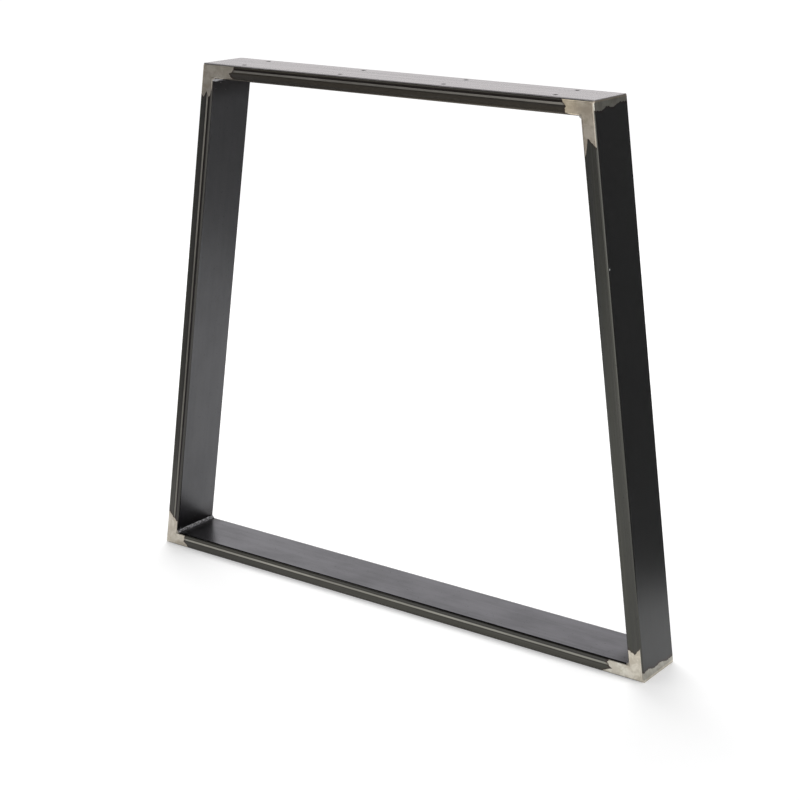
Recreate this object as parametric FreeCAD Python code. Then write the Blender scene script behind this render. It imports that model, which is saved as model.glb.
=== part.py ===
# Trapezoid table leg: four lengths of rectangular steel tube, mitred and welded into one frame.
# Millimetres. X runs along the foot, Y from the front to the back, +Z up.
# The origin is on the floor, midway along the foot and midway through its depth.
import FreeCAD, Part
import math
import os

V = FreeCAD.Vector

# Overall size, measured over the outer faces
foot_length = 800.0
head_length = 600.0
height = 710.0

# Rectangular tube, cold rolled, with rounded long edges
tube_depth = 80.0          # long side, from front to back
tube_thickness = 20.0      # short side, seen from the front
wall = 2.0
inner_bend_radius = 1.0

# Lengthwise seam of the tube, in one narrow face
seam_offset = 2.6          # from the middle of the narrow face
seam_width = 2.6           # strip scarfed off outside
scarf_depth = 0.15
flash_width = 1.8          # ridge left inside
flash_height = 0.8

# Screw holes for the table top, and the wider holes below that let the screws in
holes_per_row = 4
end_hole_inset = 60.0      # from the end of the head to the nearest hole
hole_row_gap = 50.0
screw_hole_diameter = 5.5
access_hole_diameter = 12.0

# Butt runs round the outside of each mitre, ground flush with the tube
butt_width = 4.4
root_face = 0.6            # wall left standing under a butt run
corner_leg = 3.0           # outside corner run, along each face

# Fillet run left as welded in each inside corner
fillet_leg = 4.2
ripple_pitch = 6.5
ripple_height = 0.5
ripple_crest = 0.35        # share of a ripple's length before its crest
end_swell = 0.5            # how much fuller the first and last ripples are

# Cutting tools run this far past what they cut
overrun = 10.0

outer_bend_radius = inner_bend_radius + wall
front = -tube_depth / 2
back = tube_depth / 2


def unit(vector):
    return vector / vector.Length


class Corner:
    """One mitred corner: its outer and inner points, and the directions along and across the mitre."""

    def __init__(self, point, before, after):
        to_before = unit(before - point)
        to_after = unit(after - point)
        self.half_angle = to_before.getAngle(to_after) / 2
        self.inward = unit(to_before + to_after)
        self.across = self.inward.cross(V(0, 1, 0))
        self.mitre_length = tube_thickness / math.sin(self.half_angle)
        self.outer = point
        self.inner = point + self.inward * self.mitre_length


def make_corners():
    half_foot, half_head = foot_length / 2, head_length / 2
    points = {
        "bottom_left": V(-half_foot, 0, 0),
        "bottom_right": V(half_foot, 0, 0),
        "top_right": V(half_head, 0, height),
        "top_left": V(-half_head, 0, height),
    }
    loop = list(points.values())
    corners = {}
    for i, (name, point) in enumerate(points.items()):
        corners[name] = Corner(point, loop[i - 1], loop[(i + 1) % len(loop)])
    return corners


def section_wire(depth, thickness, radius, seam_points=()):
    """Rounded rectangle about the tube's axis. Seam points take the place of its narrow side at -X."""
    x, y = depth / 2, thickness / 2
    arcs = []
    for cx, cy, start in ((x, -y, -90), (x, y, 0), (-x, y, 90), (-x, -y, 180)):
        centre = V(cx - math.copysign(radius, cx), cy - math.copysign(radius, cy), 0)
        turn = [math.radians(start + step) for step in (0, 45, 90)]
        arcs.append([centre + V(math.cos(a), math.sin(a), 0) * radius for a in turn])
    edges = [Part.Arc(*points).toShape() for points in arcs]
    straights = [[arcs[0][-1], arcs[1][0]], [arcs[1][-1], arcs[2][0]],
                 [arcs[2][-1], *seam_points, arcs[3][0]], [arcs[3][-1], arcs[0][0]]]
    for points in straights:
        edges += [Part.makeLine(p, q) for p, q in zip(points, points[1:])]
    return Part.Wire(Part.__sortEdges__(edges))


def seam_profile(side, middle, half_width, half_crest, step):
    """Four points down the narrow side: onto the seam's flat, along it and back."""
    return [V(side, middle + half_width, 0), V(side + step, middle + half_crest, 0),
            V(side + step, middle - half_crest, 0), V(side, middle - half_width, 0)]


class Member:
    """One length of tube between two corners. Going round the frame, the inside is on its left."""

    def __init__(self, start, end, seam_face, seam_towards):
        self.start, self.end = start, end
        self.along = unit(end.outer - start.outer)
        self.inward = self.along.cross(V(0, 1, 0))
        self.length = (end.outer - start.outer).Length
        self.turned = 1 if seam_face == "front" else -1
        self.seam_middle = seam_offset * self.turned * (1 if seam_towards == "inside" else -1)

    def run_out(self, wires):
        """Section wires run out along the member and cut at its two mitres."""
        section = Part.makeFace(wires, "Part::FaceMakerBullseye")
        bar = section.extrude(V(0, 0, self.length + 2 * overrun))
        origin = self.start.outer + self.inward * (tube_thickness / 2) - self.along * overrun
        x, y, z = V(0, self.turned, 0), self.inward * self.turned, self.along
        bar.Placement = FreeCAD.Placement(FreeCAD.Matrix(
            x.x, y.x, z.x, origin.x,
            x.y, y.y, z.y, origin.y,
            x.z, y.z, z.z, origin.z,
            0, 0, 0, 1))
        return bar.common(self.block_between_mitres())

    def block_between_mitres(self):
        s, e = self.start, self.end
        points = [s.outer - s.inward * overrun, e.outer - e.inward * overrun,
                  e.inner + e.inward * overrun, s.inner + s.inward * overrun]
        return plate(points, tube_depth + 2 * overrun)

    def filled(self):
        """The member as a solid bar."""
        return self.run_out([section_wire(tube_depth, tube_thickness, outer_bend_radius)])

    def plain_tube(self):
        """The tube without its seam."""
        outside = section_wire(tube_depth, tube_thickness, outer_bend_radius)
        inside = section_wire(tube_depth - 2 * wall, tube_thickness - 2 * wall, inner_bend_radius)
        return self.run_out([outside, inside])

    def tube(self):
        """The tube with the seam scarfed flat outside and its flash standing inside."""
        scarf = seam_profile(-tube_depth / 2, self.seam_middle,
                             seam_width / 2 + scarf_depth, seam_width / 2, scarf_depth)
        flash = seam_profile(-tube_depth / 2 + wall, self.seam_middle,
                             flash_width / 2, flash_width / 4, flash_height)
        outside = section_wire(tube_depth, tube_thickness, outer_bend_radius, scarf)
        inside = section_wire(tube_depth - 2 * wall, tube_thickness - 2 * wall, inner_bend_radius, flash)
        return self.run_out([outside, inside])


def plate(points, thickness):
    """Flat polygon in the frame's plane, thickened evenly to the front and the back."""
    points = [p + V(0, -thickness / 2, 0) for p in points]
    return Part.Face(Part.makePolygon(points + points[:1])).extrude(V(0, thickness, 0))


def make_members(corners):
    bottom_left, bottom_right, top_right, top_left = corners.values()
    return {
        "bottom_rail": Member(bottom_left, bottom_right, "front", "inside"),
        "right_leg": Member(bottom_right, top_right, "back", "inside"),
        "top_rail": Member(top_right, top_left, "front", "outside"),
        "left_leg": Member(top_left, bottom_left, "front", "inside"),
    }


def drill_top_rail(rail):
    """Two rows of screw holes in the upper wall, each over an access hole in the lower wall."""
    first = end_hole_inset - head_length / 2
    pitch = -2 * first / (holes_per_row - 1)
    middle = height - tube_thickness / 2
    reach = tube_thickness / 2 + overrun
    for i in range(holes_per_row):
        for row in (-hole_row_gap / 2, hole_row_gap / 2):
            centre = V(first + i * pitch, row, middle)
            screw = Part.makeCylinder(screw_hole_diameter / 2, reach, centre, V(0, 0, 1))
            access = Part.makeCylinder(access_hole_diameter / 2, reach, centre, V(0, 0, -1))
            rail = rail.cut(screw.fuse(access))
    return rail


def groove_in_face(corner, face_y, outward):
    """V along the mitre in the front or back face, as wide at the surface as a butt run."""
    depth = wall - root_face
    lip = butt_width / 2 * (depth + overrun) / depth
    start = corner.outer - corner.inward * overrun
    points = [start + V(0, face_y - outward * depth, 0),
              start + V(0, face_y + outward * overrun, 0) + corner.across * lip,
              start + V(0, face_y + outward * overrun, 0) - corner.across * lip]
    section = Part.Face(Part.makePolygon(points + points[:1]))
    return section.extrude(corner.inward * (corner.mitre_length + 2 * overrun))


def groove_over_edge(corner):
    """The outermost edge of the mitre, as far in as the outside corner run reaches."""
    depth = corner_leg * math.cos(corner.half_angle)
    start = corner.outer - corner.inward * overrun
    side = corner.across * (corner_leg + overrun)
    inwards = corner.inward * (overrun + depth)
    points = [start - side, start + side, start + side + inwards, start - side + inwards]
    return plate(points, tube_depth + 2 * overrun)


def grooves(corner):
    """Where the butt runs go: over the outer edge, and along the mitre in the front and back faces."""
    edge = groove_over_edge(corner)
    return {
        "corner_weld": edge,
        "front_weld": groove_in_face(corner, front, -1).cut(edge),
        "back_weld": groove_in_face(corner, back, 1).cut(edge),
    }


def butt_run(groove, tubes):
    """Weld metal that fills a groove and is ground flush with both tubes."""
    first, second = [tube.common(groove) for tube in tubes]
    return first.fuse(second).removeSplitter()


def bead_profile():
    """Half section of a bead along its axis. Each ripple rises steeply and falls away to the next."""
    count = max(3, round(tube_depth / ripple_pitch))
    pitch = tube_depth / count
    points = [V(0, front, 0)]
    for i in range(count):
        y = front + i * pitch
        swell = end_swell if i in (0, count - 1) else 0.0
        points.append(V(fillet_leg, y, 0))
        points.append(V(fillet_leg + ripple_height + swell, y + pitch * ripple_crest, 0))
    points += [V(fillet_leg, back, 0), V(0, back, 0)]
    return Part.Face(Part.makePolygon(points + points[:1]))


def fillet_run(corner, bars):
    """Rippled fillet in the inside corner, from the front face to the back, lying on both tubes."""
    bead = bead_profile().revolve(V(0, 0, 0), V(0, 1, 0), 360)
    bead.translate(corner.inner)
    for bar in bars:
        bead = bead.cut(bar)
    return bead


def build():
    corners = make_corners()
    members = make_members(corners)
    tubes = {name: member.plain_tube() for name, member in members.items()}
    bars = {name: member.filled() for name, member in members.items()}
    parts = {name: member.tube() for name, member in members.items()}
    parts["top_rail"] = drill_top_rail(parts["top_rail"])
    for place, corner in corners.items():
        meeting = [name for name, member in members.items() if corner in (member.start, member.end)]
        for run, groove in grooves(corner).items():
            parts[f"{run}_{place}"] = butt_run(groove, [tubes[name] for name in meeting])
            for name in meeting:
                parts[name] = parts[name].cut(groove)
        parts[f"inside_weld_{place}"] = fillet_run(corner, [bars[name] for name in meeting])
    return parts


def export(parts):
    os.makedirs("parts", exist_ok=True)
    for name, shape in parts.items():
        if len(shape.Solids) != 1 or not shape.isValid():
            raise RuntimeError(f"{name} should be one sound solid but has {len(shape.Solids)}")
        solid = shape.Solids[0]
        solid.exportStep(f"parts/{name}.step")
        print(f"{name:26s} {solid.Volume:12.1f} mm3")


export(build())
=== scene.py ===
import math
import random

import bmesh
import bpy
from mathutils import Matrix, Vector


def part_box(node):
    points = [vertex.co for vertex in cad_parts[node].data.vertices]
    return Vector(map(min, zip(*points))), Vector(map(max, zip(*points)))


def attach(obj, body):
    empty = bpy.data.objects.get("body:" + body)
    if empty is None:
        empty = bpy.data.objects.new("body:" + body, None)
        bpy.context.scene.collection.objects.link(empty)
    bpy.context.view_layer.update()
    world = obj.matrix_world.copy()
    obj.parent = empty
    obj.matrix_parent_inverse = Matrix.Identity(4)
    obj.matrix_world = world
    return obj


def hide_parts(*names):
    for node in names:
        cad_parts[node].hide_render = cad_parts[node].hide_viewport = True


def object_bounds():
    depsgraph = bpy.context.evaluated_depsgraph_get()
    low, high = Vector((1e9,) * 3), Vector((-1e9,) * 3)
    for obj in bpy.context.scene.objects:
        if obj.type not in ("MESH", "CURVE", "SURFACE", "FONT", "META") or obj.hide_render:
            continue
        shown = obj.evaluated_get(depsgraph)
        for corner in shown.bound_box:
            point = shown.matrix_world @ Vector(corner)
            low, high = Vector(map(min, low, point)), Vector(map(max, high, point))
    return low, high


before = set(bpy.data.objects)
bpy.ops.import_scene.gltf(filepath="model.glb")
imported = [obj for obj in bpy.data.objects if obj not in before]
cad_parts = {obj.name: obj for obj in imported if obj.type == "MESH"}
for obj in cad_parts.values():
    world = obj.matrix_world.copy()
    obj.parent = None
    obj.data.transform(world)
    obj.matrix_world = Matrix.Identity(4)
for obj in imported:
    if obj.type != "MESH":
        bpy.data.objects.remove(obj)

# A welded trapezoid table leg of raw steel tube under clear lacquer.
# Metres: X along the foot, Y from the front to the back, Z up from the floor.

cad_low, cad_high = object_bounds()

MILLIMETRE = 0.001

# The frame's size over its outer faces
HALF_FOOT = cad_high.x
HALF_HEAD = 0.300
HEIGHT = cad_high.z
HALF_DEPTH = cad_high.y
BACKWARDS = Vector((0, 1, 0))

# The tube
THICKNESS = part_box("bottom_rail")[1].z
WALL = 0.002
BEND_RADIUS = 0.003
BEND_STEPS = 8
OVERRUN = 0.010                # how far a blank runs past its outer corners before it is mitred

# The seam along one narrow face of each tube
SEAM_OFF_MIDDLE = 0.0026
SEAM_WIDTH = 0.0026
SEAM_DEPTH = 0.00015
SEAM_STARTS = 0.036            # from the outer corner, where the ground patch ends
SEAM_RUN_IN = 0.004

# The screw holes and the wider access holes below them
HOLE_INSET = 0.060
HOLES_PER_ROW = 4
HOLE_ROW = 0.025
SCREW_RADIUS = 0.00275
ACCESS_RADIUS = 0.006
HOLE_CELL = 0.009              # half the side of the square that a hole is cut in
CELL_INSET = 0.0001
HOLE_SIDES = 32
HOLE_CHAMFER = 0.00025

# The ground runs
RUN_HALF_WIDTH = 0.0022
RUN_EASE = 0.0007              # half the width of the strip rubbed down along the outer edge
TIP_EASE = 0.0010              # how much more its two tips are rubbed down

# The fillets
FILLET_LEG = 0.0042
FILLET_SUNK = math.radians(38)   # how far the bead wraps on into each tube's rounded edges
BEAD_STEPS = 28                # round the bead
RIPPLE_PITCH = 0.0024
RIPPLE_HEIGHT = 0.00030
RIPPLE_ROWS = 6
RIPPLE_RISE = 0.3              # the share of a ripple in which it rises
RIPPLE_POWER = 0.7             # under 1 makes a ripple fuller
RIPPLE_CHANCE = 0.00012
CRESCENT = 0.0011              # how far a ripple trails at the bead's toes
TOE_POWER = 0.5                # under 1 carries the ripples nearer to the toes
# How far each bead is rounded outwards: 1 is fully round, 0 flat
CROWNS = {"bottom_left": 0.55, "bottom_right": 0.45, "top_right": 0.10, "top_left": 0.35}
# How much fuller each bead is near its two ends
END_LUMPS = {"bottom_left": 0.0008, "bottom_right": 0.0005, "top_right": 0.0, "top_left": 0.0005}
LUMP_INSET = 0.006
LUMP_SPREAD = 0.0035
DRESSED_END = 0.0030           # the length at each end that is dressed hollow
DRESSED_BACK = 0.00004         # how far the ends lie behind the narrow faces
DRESSED_CUTS = 3               # in each of the last rows

# The spatter beside a fillet: how far past its toes, over what share of the flat walls, and how big
SPATTER_COUNT = 9
SPATTER_PAST_TOE = (0.001, 0.014)
SPATTER_SHARE = 0.9
SPATTER_RADII = (0.00025, 0.0006)

# Angles over which an edge is shaded sharp
TUBE_SHARP = math.radians(32)
BEAD_SHARP = math.radians(50)

# How near counts as the same place: in a cut, at a point, and on a hole's rim
CUT_SNAP = 1e-7
SAME_PLACE = 1e-6
ON_RIM = 1e-5


def axes_matrix(x, y, z, origin):
    """The frame with these three axes at this origin."""
    return Matrix.Translation(origin) @ Matrix((x, y, z)).transposed().to_4x4()


class Corner:
    """One mitre of the frame, with a frame of its own: x across the mitre, y to the front, z inwards."""

    def __init__(self, name, point, before, after):
        to_before = (before - point).normalized()
        to_after = (after - point).normalized()
        self.name = name
        self.outer = point
        self.half_angle = to_before.angle(to_after) / 2
        inward = (to_before + to_after).normalized()
        self.across = inward.cross(BACKWARDS)
        self.mitre_length = THICKNESS / math.sin(self.half_angle)
        self.axes = axes_matrix(self.across, -BACKWARDS, inward, self.outer)

    def side_of(self, direction):
        """1 if the direction leads away from the mitre to its positive side, and -1 if to the other."""
        return 1 if direction.dot(self.across) > 0 else -1


class Member:
    """One tube, in a frame of its own: x to the back, y from its outer face inwards, z along it."""

    def __init__(self, name, start, end, seam_face, seam_towards):
        self.name, self.start, self.end = name, start, end
        self.along = (end.outer - start.outer).normalized()
        self.length = (end.outer - start.outer).length
        self.axes = axes_matrix(BACKWARDS, self.along.cross(BACKWARDS), self.along, start.outer)
        self.seam_side = -1 if seam_face == "front" else 1
        shift = SEAM_OFF_MIDDLE if seam_towards == "inside" else -SEAM_OFF_MIDDLE
        self.seam_middle = THICKNESS / 2 + shift


def make_corners():
    """The four corners by name, in order round the frame."""
    points = {
        "bottom_left": Vector((-HALF_FOOT, 0, 0)),
        "bottom_right": Vector((HALF_FOOT, 0, 0)),
        "top_right": Vector((HALF_HEAD, 0, HEIGHT)),
        "top_left": Vector((-HALF_HEAD, 0, HEIGHT)),
    }
    loop = list(points.values())
    return {name: Corner(name, point, loop[i - 1], loop[(i + 1) % 4])
            for i, (name, point) in enumerate(points.items())}


corners = make_corners()
bottom_rail = Member("bottom_rail", corners["bottom_left"], corners["bottom_right"], "front", "inside")
right_leg = Member("right_leg", corners["bottom_right"], corners["top_right"], "back", "inside")
top_rail = Member("top_rail", corners["top_right"], corners["top_left"], "front", "outside")
left_leg = Member("left_leg", corners["top_left"], corners["bottom_left"], "front", "inside")
members = [bottom_rail, right_leg, top_rail, left_leg]
HOLE_PITCH = (top_rail.length - 2 * HOLE_INSET) / (HOLES_PER_ROW - 1)


# Mesh helpers

def everything(bm):
    """All the mesh's geometry."""
    return bm.verts[:] + bm.edges[:] + bm.faces[:]


def cut(bm, point, normal, clear_ahead=False):
    """Cuts the whole mesh with a plane, and may clear the side that its normal points to."""
    bmesh.ops.bisect_plane(bm, geom=everything(bm), dist=CUT_SNAP, plane_co=point, plane_no=normal,
                           clear_outer=clear_ahead)


def point_outwards(bm):
    """Turns the faces of an open tube to the outside."""
    bmesh.ops.recalc_face_normals(bm, faces=bm.faces)
    middle = sum((v.co for v in bm.verts), Vector()) / len(bm.verts)
    flow = sum(f.normal.dot(f.calc_center_median() - middle) * f.calc_area() for f in bm.faces)
    if flow < 0:
        bmesh.ops.reverse_faces(bm, faces=bm.faces)


def finish_piece(bm, name, material, nodes, sharp_angle=TUBE_SHARP):
    """Makes the mesh a shaded piece of the object that stands for CAD nodes."""
    mesh = bpy.data.meshes.new(name)
    bm.to_mesh(mesh)
    bm.free()
    mesh.shade_smooth()
    mesh.set_sharp_from_angle(angle=sharp_angle)
    mesh.materials.append(material)
    piece = bpy.data.objects.new(name, mesh)
    bpy.context.scene.collection.objects.link(piece)
    shading = piece.modifiers.new("even_shading", "WEIGHTED_NORMAL")
    shading.keep_sharp = True
    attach(piece, "root")
    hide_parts(*nodes)


# Tubes

def tube_skin(member):
    """The tube's outer surface, open at both ends and longer than the tube."""
    bm = bmesh.new()
    size = (2 * HALF_DEPTH, THICKNESS, member.length + 2 * OVERRUN, 1)
    middle = Matrix.Translation((0, THICKNESS / 2, member.length / 2))
    bmesh.ops.create_cube(bm, size=1, matrix=middle @ Matrix.Diagonal(size))
    long_edges = [e for e in bm.edges if e.calc_length() > member.length]
    bmesh.ops.bevel(bm, geom=long_edges, offset=BEND_RADIUS, offset_type="OFFSET", segments=BEND_STEPS,
                    profile=0.5, affect="EDGES", material=-1)
    ends = [f for f in bm.faces if abs(f.normal.z) > 0.5]
    bmesh.ops.delete(bm, geom=ends, context="FACES_ONLY")
    return bm


def press_seam(bm, member):
    """Sets the scarfed strip a little below the narrow face, from one ground patch to the other."""
    half = SEAM_WIDTH / 2
    for offset in (-half - SEAM_DEPTH, -half, half, half + SEAM_DEPTH):
        face = [f for f in bm.faces if f.normal.x * member.seam_side > 0.9]
        geom = face + list({e for f in face for e in f.edges}) + list({v for f in face for v in f.verts})
        bmesh.ops.bisect_plane(bm, geom=geom, dist=CUT_SNAP, plane_co=(0, member.seam_middle + offset, 0),
                               plane_no=(0, 1, 0))
    first, last = SEAM_STARTS, member.length - SEAM_STARTS
    for z in (first, first + SEAM_RUN_IN, last - SEAM_RUN_IN, last):
        cut(bm, (0, 0, z), (0, 0, 1))
    for v in bm.verts:
        on_face = abs(v.co.x - member.seam_side * HALF_DEPTH) < SAME_PLACE
        on_strip = abs(v.co.y - member.seam_middle) < half + SAME_PLACE
        in_run = first + SEAM_RUN_IN / 2 < v.co.z < last - SEAM_RUN_IN / 2
        if on_face and on_strip and in_run:
            v.co.x -= member.seam_side * SEAM_DEPTH


def hole_places():
    """Places of the holes in the top rail, across it and along it."""
    return [(row, HOLE_INSET + i * HOLE_PITCH) for i in range(HOLES_PER_ROW) for row in (-HOLE_ROW, HOLE_ROW)]


def round_cell(bm, cell, centre, radius):
    """Sets a ring of faces inside a cell, which leaves the cell itself round."""
    bmesh.ops.inset_individual(bm, faces=[cell], thickness=CELL_INSET, use_even_offset=True)
    step = 2 * math.pi / HOLE_SIDES
    for v in cell.verts:
        turn = round(math.atan2(v.co.z - centre.z, v.co.x - centre.x) / step) * step
        v.co = centre + Vector((math.cos(turn), 0, math.sin(turn))) * radius


def open_hole(bm, x, y, z, radius):
    """Turns the square cell at that place into a round hole, with a narrow flat ring for its chamfer."""
    centre = Vector((x, y, z))
    cell = min(bm.faces, key=lambda f: (f.calc_center_median() - centre).length)
    bmesh.ops.bisect_edges(bm, edges=cell.edges[:], cuts=HOLE_SIDES // 4 - 1)
    round_cell(bm, cell, centre, radius + HOLE_CHAMFER)
    round_cell(bm, cell, centre, radius)
    bmesh.ops.delete(bm, geom=[cell], context="FACES_ONLY")


def open_holes(bm):
    """The screw holes in the rail's outer wall and the access holes in its inner one."""
    for x in (HOLE_ROW - HOLE_CELL, HOLE_ROW + HOLE_CELL):
        for side in (-1, 1):
            cut(bm, (side * x, 0, 0), (1, 0, 0))
    for z in sorted({z for _, z in hole_places()}):
        cut(bm, (0, 0, z - HOLE_CELL), (0, 0, 1))
        cut(bm, (0, 0, z + HOLE_CELL), (0, 0, 1))
    for x, z in hole_places():
        open_hole(bm, x, 0, z, SCREW_RADIUS)
        open_hole(bm, x, THICKNESS, z, ACCESS_RADIUS)


def chamfer_holes(bm):
    """Sinks the rims of the holes by the width of the ring round them."""
    places = hole_places()
    for v in bm.verts:
        for y, radius, inwards in ((0, SCREW_RADIUS, 1), (THICKNESS, ACCESS_RADIUS, -1)):
            on_rim = any(abs(math.hypot(v.co.x - x, v.co.z - z) - radius) < ON_RIM for x, z in places)
            if on_rim and abs(v.co.y - y) < SAME_PLACE:
                v.co.y += inwards * HOLE_CHAMFER


def trim_at(bm, corner, along_from_corner, back_by):
    """Cuts a tube off in a plane along the mitre, a little back from it."""
    side = corner.side_of(along_from_corner)
    bm.transform(corner.axes.inverted())
    cut(bm, (side * back_by, 0, 0), (-side, 0, 0), clear_ahead=True)
    bm.transform(corner.axes)


def make_tube(member, material):
    """A hollow tube between two ground runs, with its seam and, in the top rail, its holes."""
    bm = tube_skin(member)
    press_seam(bm, member)
    if member is top_rail:
        open_holes(bm)
    bm.transform(member.axes)
    trim_at(bm, member.start, member.along, RUN_HALF_WIDTH)
    trim_at(bm, member.end, -member.along, RUN_HALF_WIDTH)
    point_outwards(bm)
    bmesh.ops.solidify(bm, geom=bm.faces[:], thickness=WALL)
    if member is top_rail:
        bm.transform(member.axes.inverted())
        chamfer_holes(bm)
        bm.transform(member.axes)
    finish_piece(bm, member.name + "_tube", material, [member.name])


# Welds

def make_ground_run(corner, material):
    """The butt run round a mitre, ground flush, with the outer edge a little eased."""
    member = next(m for m in members if m.start is corner)
    side = corner.side_of(member.along)
    bm = tube_skin(member)
    bm.transform(corner.axes.inverted() @ member.axes)
    cut(bm, (0, 0, 0), (-side, 0, 0), clear_ahead=True)
    cut(bm, (side * RUN_EASE, 0, 0), (1, 0, 0))
    cut(bm, (side * RUN_HALF_WIDTH, 0, 0), (side, 0, 0), clear_ahead=True)
    bmesh.ops.mirror(bm, geom=everything(bm), axis="X", merge_dist=SAME_PLACE)
    bmesh.ops.remove_doubles(bm, verts=bm.verts, dist=SAME_PLACE)
    outer = [v for v in bm.verts if v.co.z < corner.mitre_length / 2]
    crest = [v for v in outer if abs(v.co.x) < SAME_PLACE]
    bmesh.ops.smooth_vert(bm, verts=crest, factor=0.5, use_axis_x=False, use_axis_y=False, use_axis_z=True)
    for v in outer:
        past_bend = max(0, abs(v.co.y) - (HALF_DEPTH - BEND_RADIUS)) / BEND_RADIUS
        v.co.z += TIP_EASE * past_bend * max(0, 1 - abs(v.co.x) / RUN_HALF_WIDTH)
    point_outwards(bm)
    bmesh.ops.solidify(bm, geom=bm.faces[:], thickness=WALL)
    bm.transform(corner.axes)
    nodes = [f"{run}_{corner.name}" for run in ("corner_weld", "front_weld", "back_weld")]
    finish_piece(bm, "ground_run_" + corner.name, material, nodes)


def bead_size(y, ripples, chance, end_lump):
    """The bead's throw at a place along it: scales that rise steeply and fall away to the next."""
    index, share = divmod((y + HALF_DEPTH) / (2 * HALF_DEPTH) * ripples, 1)
    scale = share / RIPPLE_RISE if share < RIPPLE_RISE else (1 - share) / (1 - RIPPLE_RISE)
    lump = end_lump * math.exp(-((HALF_DEPTH - LUMP_INSET - abs(y)) / LUMP_SPREAD) ** 2)
    return RIPPLE_HEIGHT * scale ** RIPPLE_POWER + lump + chance[min(int(index), ripples - 1)]


def bead_outline(turn, half_angle, crown, hollow):
    """The bead's radius across it: rounded outwards in its run, hollow where its ends are dressed."""
    if abs(turn) >= half_angle:
        return FILLET_LEG
    flat = FILLET_LEG * math.cos(half_angle) / math.cos(turn)
    full = FILLET_LEG * crown + flat * (1 - crown)
    bend = FILLET_LEG * math.tan(half_angle)
    reach = bend / math.sin(half_angle)
    dished = reach * math.cos(turn) - math.sqrt(bend ** 2 - (reach * math.sin(turn)) ** 2)
    return full + (dished - full) * hollow


def bend_setback(from_end):
    """How far the tubes' rounded edges lie back from their wide faces, at a distance from the narrow face."""
    inside_bend = min(max(0, BEND_RADIUS - from_end), BEND_RADIUS)
    return BEND_RADIUS - math.sqrt(BEND_RADIUS ** 2 - inside_bend ** 2)


def bead_blank(sweep, end, ripples):
    """A plain round bead with a row of points for each part of a ripple, and closer rows at its two ends."""
    bm = bmesh.new()
    core = [bm.verts.new((0, y, 0)) for y in (-end, end)]
    toe = [bm.verts.new((0, y, FILLET_LEG)) for y in (-end, end)]
    run = bm.edges.new(toe)
    bm.edges.new((core[0], toe[0]))
    bm.edges.new((toe[1], core[1]))
    rows = ripples * RIPPLE_ROWS
    bmesh.ops.subdivide_edges(bm, edges=[run], cuts=rows - 1)
    past_one_row = 1.5 * 2 * end / rows
    last = [e for e in bm.edges if e.calc_length() < past_one_row
            and max(abs(v.co.y) for v in e.verts) > end - past_one_row]
    bmesh.ops.subdivide_edges(bm, edges=last, cuts=DRESSED_CUTS)
    bm.transform(Matrix.Rotation(-sweep / 2, 4, "Y"))
    bmesh.ops.spin(bm, geom=everything(bm), cent=(0, 0, 0), axis=(0, 1, 0), angle=sweep, steps=BEAD_STEPS,
                   use_merge=False)
    bmesh.ops.remove_doubles(bm, verts=bm.verts, dist=SAME_PLACE)
    return bm


def add_spatter(bm, corner, dice):
    """Small balls of steel, half sunk in the two tubes beside a fillet."""
    for _ in range(SPATTER_COUNT):
        side = dice.choice((-1, 1))
        along = FILLET_LEG + dice.uniform(*SPATTER_PAST_TOE)
        spot = Matrix.Rotation(side * corner.half_angle, 3, "Y") @ Vector((0, 0, along))
        spot.y = dice.uniform(-SPATTER_SHARE, SPATTER_SHARE) * (HALF_DEPTH - BEND_RADIUS)
        bmesh.ops.create_icosphere(bm, subdivisions=2, radius=dice.uniform(*SPATTER_RADII),
                                   matrix=Matrix.Translation(spot))


def make_fillet(corner, material, seed):
    """The fillet run in an inside corner, rippled as welded, with a little spatter.

    Its two ends are dressed hollow, and turn out over the tubes' rounded edges to the narrow faces.
    """
    dice = random.Random(seed)
    ripples = round(2 * HALF_DEPTH / RIPPLE_PITCH)
    chance = [dice.uniform(-1, 1) * RIPPLE_CHANCE for _ in range(ripples)]
    crown, end_lump = CROWNS[corner.name], END_LUMPS[corner.name]
    end = HALF_DEPTH - DRESSED_BACK
    bm = bead_blank(2 * (corner.half_angle + FILLET_SUNK), end, ripples)
    for v in bm.verts:
        from_end = end - abs(v.co.y)
        outwards = bend_setback(from_end) / math.sin(corner.half_angle)
        if math.hypot(v.co.x, v.co.z) < FILLET_LEG / 2:
            v.co.z -= outwards
            continue
        turn, y = math.atan2(v.co.x, v.co.z), v.co.y
        loose = min(1, from_end / DRESSED_END) ** 2
        share = min(1, abs(turn) / corner.half_angle)
        body = math.cos(share * math.pi / 2) ** TOE_POWER * loose * bead_size(y, ripples, chance, end_lump)
        radius = bead_outline(turn, corner.half_angle, crown, 1 - loose) + body
        v.co = (radius * math.sin(turn), y - CRESCENT * share * share * loose,
                radius * math.cos(turn) - outwards)
    bmesh.ops.holes_fill(bm, edges=[e for e in bm.edges if e.is_boundary])
    bmesh.ops.recalc_face_normals(bm, faces=bm.faces)
    add_spatter(bm, corner, dice)
    bm.transform(corner.axes @ Matrix.Translation((0, 0, corner.mitre_length)))
    finish_piece(bm, "fillet_" + corner.name, material, ["inside_weld_" + corner.name],
                 sharp_angle=BEAD_SHARP)


# Shader nodes

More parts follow.
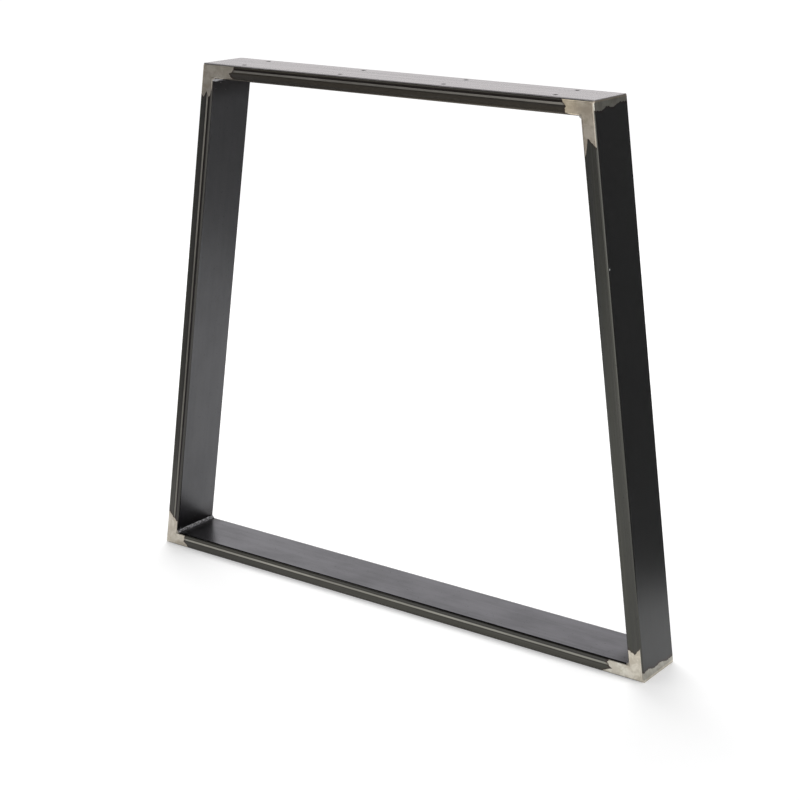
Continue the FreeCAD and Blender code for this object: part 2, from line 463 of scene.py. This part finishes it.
class Signal:
    """A shader value that Python's arithmetic works on, one Math node for each operation."""

    def __init__(self, nodes, socket):
        self.nodes = nodes
        self.socket = socket

    def math(self, operation, other, swapped=False):
        """The Math node of that name, with this value first unless they are swapped."""
        a, b = (other, self) if swapped else (self, other)
        return self.nodes.node("ShaderNodeMath", {"operation": operation}, {0: a, 1: b})

    def __add__(self, other):
        return self.math("ADD", other)

    def __sub__(self, other):
        return self.math("SUBTRACT", other)

    def __mul__(self, other):
        return self.math("MULTIPLY", other)

    def __truediv__(self, other):
        return self.math("DIVIDE", other)

    def __rsub__(self, other):
        return self.math("SUBTRACT", other, swapped=True)

    __radd__ = __add__
    __rmul__ = __mul__

    def at_least(self, other):
        return self.math("MAXIMUM", other)

    def at_most(self, other):
        return self.math("MINIMUM", other)

    def size(self):
        return self.nodes.node("ShaderNodeMath", {"operation": "ABSOLUTE"}, {0: self})


def between(a, b, share):
    """a where the share is 0, b where it is 1."""
    return a + (b - a) * share


class Nodes:
    """A node tree under construction."""

    def __init__(self, tree):
        self.tree = tree

    def node(self, kind, settings=None, inputs=None, output=0):
        """A new node, with its settings made before its inputs are fed. Gives one of its outputs."""
        made = self.tree.nodes.new(kind)
        for key, value in (settings or {}).items():
            if key == "stops":
                self.set_stops(made.color_ramp, value)
            else:
                setattr(made, key, value)
        for key, value in (inputs or {}).items():
            self.feed(made.inputs[key], value)
        return Signal(self, made.outputs[output])

    def set_stops(self, ramp, stops):
        """Sets a ramp to grey levels at positions from 0 to 1."""
        while len(ramp.elements) < len(stops):
            ramp.elements.new(1)
        for element, (position, level) in zip(ramp.elements, stops):
            element.position = position
            element.color = (level, level, level, 1)

    def feed(self, socket, value):
        """Links a signal to an input, or sets the input to a constant."""
        if isinstance(value, Signal):
            self.tree.links.new(value.socket, socket)
        else:
            socket.default_value = value

    def step(self, value, low, high):
        """0 below low, 1 above high, smooth between."""
        return self.node("ShaderNodeMapRange", {"interpolation_type": "SMOOTHSTEP"},
                         {"Value": value, "From Min": low, "From Max": high})

    def near(self, distance, full, none):
        """1 for distances up to full, 0 from none on, smooth between."""
        return 1 - self.step(distance, full, none)

    def axis(self, vector, letter):
        """One part of a vector."""
        return self.node("ShaderNodeSeparateXYZ", None, {0: vector}, output=letter)

    def distance(self, vector, point=(0, 0, 0)):
        """How far a vector lies from a point."""
        return self.node("ShaderNodeVectorMath", {"operation": "DISTANCE"}, {0: vector, 1: point},
                         output="Value")

    def mapped(self, vector, scale=(1, 1, 1), turn=(0, 0, 0)):
        """A vector scaled along its axes, then turned."""
        return self.node("ShaderNodeMapping", None, {"Vector": vector, "Scale": scale, "Rotation": turn})

    def noise(self, vector, scale, detail, roughness, distortion=0.0):
        """Noise from 0 to 1. A scale for each axis draws it out along the axis where it is small."""
        if isinstance(scale, tuple):
            vector, scale = self.mapped(vector, scale), 1.0
        return self.node("ShaderNodeTexNoise", None, {"Vector": vector, "Scale": scale, "Detail": detail,
                                                     "Roughness": roughness, "Distortion": distortion})

    def blend(self, factor, a, b, how="MIX"):
        """Colour a where the factor is 0, and b, or the two blended in another way, where it is 1."""
        return self.node("ShaderNodeMix", {"data_type": "RGBA", "blend_type": how},
                         {0: factor, 6: a, 7: b}, output=2)

    def profile(self, value, stops):
        """Metres that follow points given in millimetres, such as the border of a ground patch."""
        top = max(level for _, level in stops)
        shares = [(position, level / top) for position, level in stops]
        return self.node("ShaderNodeValToRGB", {"stops": shares}, {0: value}) * (top * MILLIMETRE)


class Finish(Nodes):
    """A material under construction."""

    def __init__(self, name):
        self.material = bpy.data.materials.new(name)
        self.material.use_nodes = True
        super().__init__(self.material.node_tree)
        self.shader = self.tree.nodes["Principled BSDF"]
        self.place = self.node("ShaderNodeTexCoord", output="Object")

    def frame_of(self, member):
        """Places in a tube's own frame."""
        return self.node("ShaderNodeMapping", {"vector_type": "TEXTURE"},
                         {"Vector": self.place, "Location": member.start.outer,
                          "Rotation": member.axes.to_euler()})

    def surface(self, inputs):
        """Feeds the shader's inputs by name, and gives the material."""
        for name, value in inputs.items():
            self.feed(self.shader.inputs[name], value)
        return self.material

    def metal(self, colour, roughness, height, relief, metallic=1.0):
        """A metal surface whose fine height is shaded as a relief of so many metres."""
        bump = self.node("ShaderNodeBump", None, {"Height": height, "Distance": relief, "Strength": 1.0})
        return self.surface({"Base Color": colour, "Roughness": roughness, "Metallic": metallic,
                             "Normal": bump})


# Colours, as linear reflectance
MILL_SHADE = (0.058, 0.058, 0.062, 1)
RUBBED_STEEL = (0.105, 0.102, 0.097, 1)
# Dark soot for the pits and round the patches, and painted shade in the inside corners, beside the seams and
# in the screw holes
SOOT_AND_PAINTED_SHADE = (0.020, 0.016, 0.016, 1)
GROUND_STEEL = (0.50, 0.475, 0.43, 1)
GROUND_SHADE = (0.38, 0.35, 0.305, 1)
GROUND_TINT = (0.37, 0.35, 0.28, 1)
HEAT_TINT = (0.060, 0.040, 0.036, 1)
BRUSHED_STEEL = (0.64, 0.615, 0.62, 1)
BRUSHED_SHADE = (0.26, 0.245, 0.252, 1)
GRAZING_TINT = (0.92, 0.90, 0.905, 1)   # how bright the brushed face stays when it is seen along it
BEAD_STEEL = (0.340, 0.340, 0.350, 1)
BEAD_SHADE = (0.120, 0.112, 0.116, 1)
NICK_GLINT = (0.75, 0.75, 0.75, 1)
PAPER_SHADE = (0.79, 0.79, 0.79, 1)
PAPER_WHITE = (0.81, 0.81, 0.81, 1)
BLACK = (0, 0, 0, 1)
WHITE = (1, 1, 1, 1)


class Look:
    """What sets one tube apart: the tones of its faces, its seam from start to end, and its ground patches.

    The band of painted shade lies beside the seam, towards the tube's inner edge (1) or its outer one (-1),
    or there is none (0). A patch is given as how far it runs from the outer corner, in millimetres, at shares
    of the narrow face from its outer edge to its inner one.
    """

    def __init__(self, narrow, wide, seam, painted_shade_side, start_patch, end_patch):
        self.narrow, self.wide, self.seam, self.painted_shade_side = narrow, wide, seam, painted_shade_side
        self.patches = (start_patch, end_patch)


LOOKS = {
    # The bottom rail's wide faces carry painted light: their tone is far brighter than the other tubes'
    "bottom_rail": Look(
        narrow=(0.071, 0.069, 0.060, 1), wide=(0.230, 0.223, 0.243, 1),
        seam=((0.36, 0.35, 0.31, 1), (0.29, 0.285, 0.25, 1)), painted_shade_side=0,
        start_patch=[(0.02, 45), (0.25, 41), (0.45, 36), (0.7, 37), (0.95, 38)],
        end_patch=[(0.02, 62), (0.22, 54), (0.4, 45), (0.52, 49), (0.75, 52), (0.95, 50)]),
    "right_leg": Look(
        narrow=(0.070, 0.070, 0.062, 1), wide=(0.058, 0.059, 0.059, 1),
        seam=((0.25, 0.24, 0.21, 1), (0.25, 0.24, 0.21, 1)), painted_shade_side=1,
        start_patch=[(0.02, 50), (0.1, 44), (0.45, 37), (0.62, 39), (0.9, 42)],
        end_patch=[(0.02, 56), (0.3, 50), (0.62, 43), (0.72, 54), (0.80, 61), (0.90, 65), (0.96, 30)]),
    "top_rail": Look(
        narrow=(0.080, 0.071, 0.058, 1), wide=(0.070, 0.070, 0.070, 1),
        seam=((0.40, 0.38, 0.34, 1), (0.30, 0.285, 0.26, 1)), painted_shade_side=-1,
        start_patch=[(0.05, 43), (0.3, 40), (0.5, 37), (0.75, 38), (0.87, 37), (0.97, 25)],
        end_patch=[(0.05, 55), (0.3, 53), (0.45, 51), (0.55, 45), (0.75, 49), (0.87, 52), (0.97, 25)]),
    "left_leg": Look(
        narrow=(0.062, 0.060, 0.055, 1), wide=(0.088, 0.088, 0.092, 1),
        seam=((0.42, 0.40, 0.355, 1), (0.17, 0.165, 0.145, 1)), painted_shade_side=1,
        start_patch=[(0.1, 41), (0.32, 45), (0.52, 36), (0.7, 43), (0.87, 40), (0.97, 25)],
        end_patch=[(0.05, 53), (0.2, 51), (0.55, 45), (0.8, 42), (0.95, 40)]),
}
# How far the patches run on the outer faces, in millimetres, at shares of the depth from the front
OUTER_PATCH = [(0.0, 12), (0.2, 14), (0.35, 10), (0.55, 12), (0.75, 8), (1.0, 9)]

# How bright the ground steel is at each corner's mitre, and further along the tubes at their starts and ends
CORNER_TONES = {
    "bottom_left": (0.99, 0.975, 0.94, 1),
    "bottom_right": (1.22, 1.21, 1.16, 1),
    "top_right": (1.13, 1.06, 0.97, 1),
    "top_left": (0.94, 0.91, 0.88, 1),
}
PATCH_TONES = {
    "bottom_rail": ((1.04, 1.02, 0.98, 1), (1.32, 1.34, 1.32, 1)),
    "right_leg": ((1.24, 1.22, 1.16, 1), (1.10, 1.05, 0.99, 1)),
    "top_rail": ((1.52, 1.40, 1.20, 1), (0.98, 0.96, 0.93, 1)),
    "left_leg": ((0.80, 0.78, 0.77, 1), (1.02, 1.00, 0.97, 1)),
}
OUTER_TONE = (0.97, 1.00, 0.985, 1)
DRESSED_TONE = 0.7             # how bright the fillets' dressed ends are beside the patches

# How far from a face its finish holds in full, and where it has faded out
NARROW_FADE = (0.0016, 0.0026)
PATCH_FADE = (0.0005, 0.0010)
SEAM_FACE_FADE = (0.0006, 0.0012)
OUTER_FADE = (0.0012, 0.0022)
INNER_FADE = (0.0004, 0.0012)
TOP_FADE = (0.0008, 0.0014)
DRESSED_FADE = (0.0008, 0.0015)
DRESSED_RAGGED = 0.002
OUTER_PATCH_SHADE = 0.15              # how much the patches on the outer faces are darkened towards the rolled steel, a painted shade
# The rounded edges: how far they reach from the narrow faces and from the wide ones
BEND_FROM_NARROW = (0.0028, 0.0034)
BEND_FROM_WIDE = (0.0026, 0.0034)
# The top face's edges, where the brush was coarser, as a depth below the face
TOP_EDGE = (0.00002, 0.0002)
# How far from a corner the inner faces carry painted shade, and where its tone gives way to the tubes' own
PAINTED_CORNER_SHADE_FADE = (0.022, 0.056)
TONE_FADE = (0.010, 0.036)
CORNER_RAGGED = 0.012
HALF_WAY = (0.45, 0.55)        # the shares of a tube over which its start's tones give way to its end's

# The seam's stripe as shares of its width, and the painted shade round it and the band of painted shade
# beside it as distances from its middle
STRIPE_FADE = (0.40, 0.60)
SEAM_RAGGED = 0.0007
SEAM_SHADE = (0.0014, 0.0040)
BAND_STARTS = (0.0008, 0.0016)
BAND_ENDS = (0.0036, 0.0046)

# The border of a ground patch, and the heat tint and soot outside it, as distances inside the border
PATCH_RAGGED = 0.006
PATCH_EDGE = (-0.0005, 0.0005)
HEAT_EDGE = (-0.0050, -0.0002)
HEAT_RAGGED = 0.008
BURNT_EDGE = (-0.0016, -0.0002)

# The painted shade on the rim of each screw hole and the fainter ring round it, as distances from the chamfer
RIM_FADE = (0.0, 0.0002)
RING_FADE = (0.0007, 0.0011)
RING_SHADE = 0.65

# A nick in the right leg's lacquer with a painted white glint, along it from the floor and across its outer
# face
NICK_ALONG = 0.5185
NICK_DEPTH = -0.0362
NICK_FADE = (0.0008, 0.0013)
NICK_RAGGED = 0.0006

# How deep the steel's relief and the bead's are, and how much of it the scratches and brushed lines take
STEEL_RELIEF = 0.00018
BEAD_RELIEF = 0.00006
SCRATCH_SHARE = 0.10
BRUSHED_SHARE = 0.06
BRUSHED_TURN = math.radians(1.5)


def ground_look(finish, tone):
    """Colour, roughness and height of steel ground with a flap disc, in two passes that cross."""
    first = finish.noise(finish.mapped(finish.place, (900, 900, 120), (0.0, 0.7, 0.2)), 1.0, 4.0, 0.6)
    second = finish.noise(finish.mapped(finish.place, (150, 900, 900), (0.3, -0.5, 0.4)), 1.0, 3.0, 0.6)
    cloud = finish.noise(finish.place, 85.0, 4.0, 0.65, 0.6)
    scratches = first * 0.6 + second * 0.4
    worn = finish.step(cloud + scratches * 0.35, 0.50, 0.80)
    colour = finish.blend(worn, GROUND_STEEL, GROUND_SHADE)
    tinted = finish.step(finish.noise(finish.place, 140.0, 2.0, 0.5), 0.58, 0.72) * 0.5
    colour = finish.blend(1.0, finish.blend(tinted, colour, GROUND_TINT), tone, "MULTIPLY")
    return colour, 0.26 + scratches * 0.20, scratches


def brush_top(finish, own, below, colour, roughness, height):
    """Brushes the top face nearly along the rail, and coarser over its rounded edges.

    Own is a place in the top rail's frame, and below is how far it lies under the top face.
    """
    turned = finish.mapped(own, turn=(0.0, BRUSHED_TURN, 0.0))
    fine = finish.noise(turned, (1300, 1300, 5), 4.0, 0.65)
    broad = finish.noise(turned, (300, 300, 1.3), 3.0, 0.6)
    lines = fine * 0.62 + broad * 0.38
    brushed = finish.blend(finish.step(lines, 0.34, 0.66), BRUSHED_SHADE, BRUSHED_STEEL)
    brushed_rough = 0.20 + lines * 0.16 + finish.step(below, *TOP_EDGE) * 0.40
    on_top = finish.near(below, *TOP_FADE)
    finish.surface({"Specular Tint": GRAZING_TINT})
    return (finish.blend(on_top, colour, brushed),
            between(roughness, brushed_rough, on_top),
            between(height, lines * BRUSHED_SHARE, on_top))


class TubeFinish(Finish):
    """Dark rolled steel with its bright seam, ground bright at both ends, under clear lacquer.

    Places are in the tube's own frame: depth to the back, across from the outer face inwards, and along.
    """

    def __init__(self, member):
        super().__init__("rolled steel " + member.name)
        self.member, self.look = member, LOOKS[member.name]
        self.own = self.frame_of(member)
        self.depth, self.across, self.along = (self.axis(self.own, letter) for letter in "XYZ")
        self.cloud = self.noise(self.own, (24, 24, 9.6), 4.0, 0.6)
        self.grain = self.noise(self.own, 1500.0, 2.0, 0.6)
        self.pits = self.step(self.noise(self.own, 420.0, 3.0, 0.6), 0.66, 0.72)
        self.from_narrow = HALF_DEPTH - self.depth.size()
        from_end = self.along.at_most(member.length - self.along)
        self.from_corner = from_end + (self.cloud - 0.5) * CORNER_RAGGED
        self.on_outer = self.near(self.across, *OUTER_FADE)

    def rolled_steel(self):
        """Mill shade, streaks and pits, stronger on the narrow faces, and painted shade in the inside
        corners.
        """
        on_narrow = self.near(self.from_narrow, *NARROW_FADE)
        on_inner = self.near(THICKNESS - self.across, *INNER_FADE)
        streaks = self.step(self.noise(self.own, (520, 520, 6), 4.0, 0.65), 0.48, 0.70)
        bands = self.step(self.noise(self.own, (160, 160, 1.5), 2.0, 0.5), 0.42, 0.66)
        # The wide faces' tone, which on the bottom rail is painted light
        steel = self.blend(self.step(self.cloud, 0.35, 0.68) * 0.3, self.look.wide, MILL_SHADE)
        steel = self.blend(on_narrow, steel, self.look.narrow)
        steel = self.blend(streaks * (0.06 + on_narrow * 0.38), steel, RUBBED_STEEL)
        steel = self.blend(bands * (0.10 + on_narrow * 0.25), steel, MILL_SHADE)
        steel = self.blend(self.pits * 0.55, steel, SOOT_AND_PAINTED_SHADE)
        # Painted shade on the inner faces near each corner
        return self.blend(self.near(self.from_corner, *PAINTED_CORNER_SHADE_FADE) * on_inner * 0.7, steel, SOOT_AND_PAINTED_SHADE)

    def with_seam(self, steel):
        """Adds the bright stripe of the seam, the painted shade round it and the band of painted shade beside
        it.
        """
        on_face = self.near(HALF_DEPTH - self.depth * self.member.seam_side, *SEAM_FACE_FADE)
        off_middle = self.across - self.member.seam_middle
        off_seam = off_middle.size() + (self.noise(self.own, (400, 400, 14), 3.0, 0.6) - 0.5) * SEAM_RAGGED
        # Painted shade round the seam's groove
        steel = self.blend(self.near(off_seam, *SEAM_SHADE) * on_face * 0.35, steel, SOOT_AND_PAINTED_SHADE)
        # A band of painted shade beside the seam
        past_seam = off_middle * self.look.painted_shade_side
        band = self.step(past_seam, *BAND_STARTS) * self.near(past_seam, *BAND_ENDS)
        steel = self.blend(band * on_face * 0.80, steel, SOOT_AND_PAINTED_SHADE)
        stripe = self.near(off_seam, *(SEAM_WIDTH * share for share in STRIPE_FADE)) * on_face
        patchy = self.step(self.noise(self.own, (60, 60, 9), 4.0, 0.7), 0.25, 0.75)
        bright = self.blend(self.along * (1 / self.member.length), *self.look.seam)
        return self.blend(stripe * (0.60 + patchy * 0.40), steel, bright)

    def inside_patch(self):
        """How far a place lies inside the border of a ground patch, or outside it where that is below 0."""
        ragged = (self.noise(self.own, 260.0, 4.0, 0.65) - 0.5) * PATCH_RAGGED
        on_narrow = self.near(self.from_narrow, *PATCH_FADE)
        narrow_share = self.across / THICKNESS
        outer_share = (self.depth + HALF_DEPTH) / (2 * HALF_DEPTH)
        inside = []
        for distance, stops in zip((self.along, self.member.length - self.along), self.look.patches):
            narrow_by = self.profile(narrow_share, stops) + ragged - distance
            outer_by = self.profile(outer_share, OUTER_PATCH) + ragged - distance
            inside.append((narrow_by - (1 - on_narrow)).at_least(outer_by - (1 - self.on_outer)))
        return inside[0].at_least(inside[1])

    def with_heat(self, steel, inside_by):
        """Adds the heat tint and the soot round the patches."""
        smear = self.step(inside_by + (self.cloud - 0.5) * HEAT_RAGGED, *HEAT_EDGE)
        steel = self.blend(smear * 0.60, steel, HEAT_TINT)
        return self.blend(self.step(inside_by, *BURNT_EDGE) * 0.60, steel, SOOT_AND_PAINTED_SHADE)

    def patch_tone(self):
        """How bright the patches are: as their corner near its mitre, and further along as their tube."""
        member = self.member
        half_way = self.step(self.along, *(member.length * share for share in HALF_WAY))
        at_corner = self.blend(half_way, CORNER_TONES[member.start.name], CORNER_TONES[member.end.name])
        further = self.blend(half_way, *PATCH_TONES[member.name])
        tone = self.blend(self.step(self.from_corner, *TONE_FADE), at_corner, further)
        return self.blend(self.on_outer, tone, OUTER_TONE)

    def painted_hole_shade(self):
        """1 on the rims and walls of the screw holes, where shade is painted, and less round them."""
        along_off = self.node("ShaderNodeMath", {"operation": "WRAP"},
                              {0: self.along - HOLE_INSET, 1: HOLE_PITCH / 2, 2: -HOLE_PITCH / 2})
        off = self.node("ShaderNodeCombineXYZ", None, {"X": along_off, "Y": self.depth.size() - HOLE_ROW})
        from_rim = self.distance(off) - (SCREW_RADIUS + HOLE_CHAMFER)
        rim, ring = self.near(from_rim, *RIM_FADE), self.near(from_rim, *RING_FADE)
        return rim * (1 - RING_SHADE) + ring * RING_SHADE

    def on_nick_glint(self):
        """1 on the nick in the right leg's front edge, where its glint is painted."""
        off = self.distance(self.own, (NICK_DEPTH, 0.0, NICK_ALONG))
        return self.near(off + (self.grain - 0.5) * NICK_RAGGED, *NICK_FADE)

    def make(self):
        """The tube's material."""
        inside_by = self.inside_patch()
        ground = self.step(inside_by, *PATCH_EDGE)
        steel = self.with_heat(self.with_seam(self.rolled_steel()), inside_by)
        ground_colour, ground_rough, scratches = ground_look(self, self.patch_tone())
        # The patches on the outer faces are darkened towards the rolled steel as painted shade
        colour = self.blend(ground * (1 - self.on_outer * OUTER_PATCH_SHADE), steel, ground_colour)

        from_wide = self.across.at_most(THICKNESS - self.across)
        on_bend = self.near(self.from_narrow, *BEND_FROM_NARROW) * self.near(from_wide, *BEND_FROM_WIDE)
        steel_rough = 0.25 + self.cloud * 0.10 + self.grain * 0.04 + self.pits * 0.12
        roughness = between(steel_rough, ground_rough, ground) * (1 - on_bend * 0.6)

        height = self.noise(self.own, (45, 45, 11.25), 2.0, 0.5) * 0.5 + self.grain * 0.03
        height = height + scratches * ground * SCRATCH_SHARE - self.pits * 0.04
        metallic = 1.0
        if self.member is top_rail:
            colour, roughness, height = brush_top(self, self.own, self.across, colour, roughness, height)
            # Painted shade in and round the screw holes
            colour = self.blend(self.painted_hole_shade(), colour, SOOT_AND_PAINTED_SHADE)
        if self.member is right_leg:
            # A painted glint: a white, non-metallic speck at the nick
            nick = self.on_nick_glint()
            colour = self.blend(nick, colour, NICK_GLINT)
            metallic = 1 - nick
        return self.metal(colour, roughness, height, STEEL_RELIEF, metallic)


def ground_finish(corner):
    """The ground runs: the same ground steel as the patches beside them, brushed on the top face."""
    finish = Finish("ground weld steel " + corner.name)
    colour, roughness, scratches = ground_look(finish, CORNER_TONES[corner.name])
    height = scratches * SCRATCH_SHARE
    if corner.outer.z > HEIGHT / 2:
        own, below = finish.frame_of(top_rail), HEIGHT - finish.axis(finish.place, "Z")
        colour, roughness, height = brush_top(finish, own, below, colour, roughness, height)
    return finish.metal(colour, roughness, height, STEEL_RELIEF)


def bead_finish(corner):
    """As welded: grey oxide with heat tints, and dressed bright at its two ends."""
    finish = Finish("welded bead steel " + corner.name)
    cloud = finish.noise(finish.place, 300.0, 4.0, 0.6)
    spots = finish.noise(finish.place, 1500.0, 3.0, 0.6)
    colour = finish.blend(finish.step(cloud, 0.38, 0.62), BEAD_STEEL, BEAD_SHADE)
    from_end = HALF_DEPTH - finish.axis(finish.place, "Y").size() - (cloud - 0.5) * DRESSED_RAGGED
    dressed = finish.near(from_end, *DRESSED_FADE)
    dull = [level * DRESSED_TONE for level in CORNER_TONES[corner.name]]
    ground_colour, ground_rough, _ = ground_look(finish, dull)
    return finish.metal(finish.blend(dressed, colour, ground_colour),
                        between(0.24 + spots * 0.16, ground_rough, dressed), spots, BEAD_RELIEF)


# The studio

# The view: where the camera stands, how it is turned, and its focal length in pixels of the picture
VIEW_AZIMUTH = math.radians(35.778)
VIEW_ELEVATION = math.radians(17.205)
VIEW_ROLL = math.radians(0.215)
VIEW_PLACE = Vector((1.3458, -1.8701, 0.9971))
FOCAL_PIXELS = 1813.0
PICTURE_WIDTH = 800.0
SENSOR = 36.0

# The paper: how much it glows near the object and far from it, where that changes, and how it lies
FLOOR_GLOW = 0.28
FAR_GLOW = 0.56
GLOW_CHANGES = (0.4, 2.4)
FLOOR_SIDE = 60.0
FLOOR_BELOW = 0.0002

# The room: its light on the object, how dark its ceiling looks, and the rise over which it turns dark
ROOM_LIGHT = 0.62
CEILING_DARK = 0.95
CEILING_FADE = (0.36, 0.62)


def add_camera():
    """The camera that sees the object as the picture does."""
    data = bpy.data.cameras.new("camera")
    data.sensor_width = SENSOR
    data.lens = FOCAL_PIXELS / PICTURE_WIDTH * SENSOR
    camera = bpy.data.objects.new("camera", data)
    back = Vector((math.sin(VIEW_AZIMUTH) * math.cos(VIEW_ELEVATION),
                   -math.cos(VIEW_AZIMUTH) * math.cos(VIEW_ELEVATION), math.sin(VIEW_ELEVATION)))
    right = Vector((0, 0, 1)).cross(back).normalized()
    level = axes_matrix(right, back.cross(right), back, VIEW_PLACE)
    camera.matrix_world = level @ Matrix.Rotation(VIEW_ROLL, 4, "Z")
    bpy.context.scene.collection.objects.link(camera)
    bpy.context.scene.camera = camera


def add_plane(name, matrix, width, height, material):
    """A flat sheet of the studio, centred on a frame and lying in its x and y."""
    bm = bmesh.new()
    bmesh.ops.create_grid(bm, x_segments=1, y_segments=1, size=0.5,
                          matrix=matrix @ Matrix.Diagonal((width, height, 1, 1)))
    mesh = bpy.data.meshes.new(name)
    bm.to_mesh(mesh)
    bm.free()
    mesh.materials.append(material)
    plane = bpy.data.objects.new(name, mesh)
    bpy.context.scene.collection.objects.link(plane)
    return plane


def hide_from(thing, *rays):
    """Takes a lamp or a sheet out of the sight of some kinds of rays."""
    for ray in rays:
        setattr(thing, "visible_" + ray, False)


def seen_directly(nodes):
    """1 for rays that show a background: from the camera, off metal and through glass."""
    camera, glossy, through = (nodes.node("ShaderNodeLightPath", output=kind)
                               for kind in ("Is Camera Ray", "Is Glossy Ray", "Is Transmission Ray"))
    return camera.at_least(glossy).at_least(through)


def floor_finish():
    """White paper. It glows a little to the rays that show the background, and still takes the shadow."""
    finish = Finish("paper floor")
    mottle = finish.noise(finish.place, 3.0, 2.0, 0.5)
    glow = between(FLOOR_GLOW, FAR_GLOW, finish.step(finish.distance(finish.place), *GLOW_CHANGES))
    return finish.surface({
        "Base Color": finish.blend(mottle, PAPER_SHADE, PAPER_WHITE),
        "Emission Color": finish.blend(seen_directly(finish) * glow, BLACK, WHITE),
        "Emission Strength": 1.0,
        "Specular IOR Level": 0.0,
        "Roughness": 1.0,
    })


def cloth_finish(name, level):
    """Plain cloth of a studio flag."""
    grey = (level, level, level, 1)
    return Finish(name).surface({"Base Color": grey, "Roughness": 1.0, "Specular IOR Level": 0.0})


def add_flag(name, first, last, height, level):
    """A studio flag on the floor between two points, which only the steel's reflections show."""
    run = Vector(last) - Vector(first)
    middle = (Vector(first) + Vector(last)) / 2 + Vector((0, 0, height / 2))
    up = Vector((0, 0, 1))
    place = axes_matrix(run.normalized(), up, run.normalized().cross(up), middle)
    flag = add_plane(name, place, run.length, height, cloth_finish(name + " cloth", level))
    hide_from(flag, "camera", "diffuse", "shadow", "transmission")


def add_lamp(name, place, target, width, height, radiance):
    """A softbox, given by how bright its cloth looks."""
    data = bpy.data.lights.new(name, "AREA")
    data.shape = "RECTANGLE"
    data.size, data.size_y = width, height
    data.energy = radiance * math.pi * width * height
    lamp = bpy.data.objects.new(name, data)
    lamp.location = place
    lamp.rotation_euler = (Vector(target) - Vector(place)).to_track_quat("-Z", "Y").to_euler()
    hide_from(lamp, "camera")
    bpy.context.scene.collection.objects.link(lamp)
    return lamp


def add_room():
    """The white room: bright round the horizon for the rays that show it, with a dark ceiling."""
    world = bpy.data.worlds.new("white room")
    bpy.context.scene.world = world
    world.use_nodes = True
    room = Nodes(world.node_tree)
    rise = room.axis(room.node("ShaderNodeTexCoord", output="Generated"), "Z")
    shown = 1 - room.step(rise, *CEILING_FADE) * CEILING_DARK
    background = room.tree.nodes["Background"]
    room.feed(background.inputs["Color"], WHITE)
    room.feed(background.inputs["Strength"], between(ROOM_LIGHT, shown, seen_directly(room)))


def add_studio():
    """The paper floor, three flags that the steel mirrors, four softboxes and the room."""
    add_plane("floor", Matrix.Translation((0, 0, -FLOOR_BELOW)), FLOOR_SIDE, FLOOR_SIDE, floor_finish())
    add_flag("back_flag", (-0.05, 0.99, 0), (0.62, 0.69, 0), height=1.1, level=0.36)
    add_flag("right_flag", (0.43, 0.40, 0), (1.05, 0.08, 0), height=1.1, level=0.25)
    add_flag("front_flag", (-0.62, -0.25, 0), (-0.50, -2.4, 0), height=0.9, level=0.52)
    overhead = add_lamp("overhead softbox", (-0.7, 0.9, 2.3), (0, 0, 0.3), 1.3, 1.3, radiance=6.0)
    hide_from(overhead, "glossy")
    add_lamp("side softbox", (2.1, -1.15, 0.75), (0, 0, 0.35), 1.0, 1.3, radiance=1.2)
    rear = add_lamp("rear softbox", (0.2, 2.5, 2.6), (0, 0, 0.3), 1.8, 1.4, radiance=2.6)
    hide_from(rear, "diffuse")
    add_lamp("ceiling softbox", (0, 0, 2.7), (0, 0.001, 0), 1.5, 1.5, radiance=1.0)
    add_room()


bpy.context.scene.view_settings.view_transform = "Standard"
add_camera()
add_studio()

for member in members:
    make_tube(member, TubeFinish(member).make())
for seed, corner in enumerate(corners.values()):
    make_ground_run(corner, ground_finish(corner))
    make_fillet(corner, bead_finish(corner), seed)
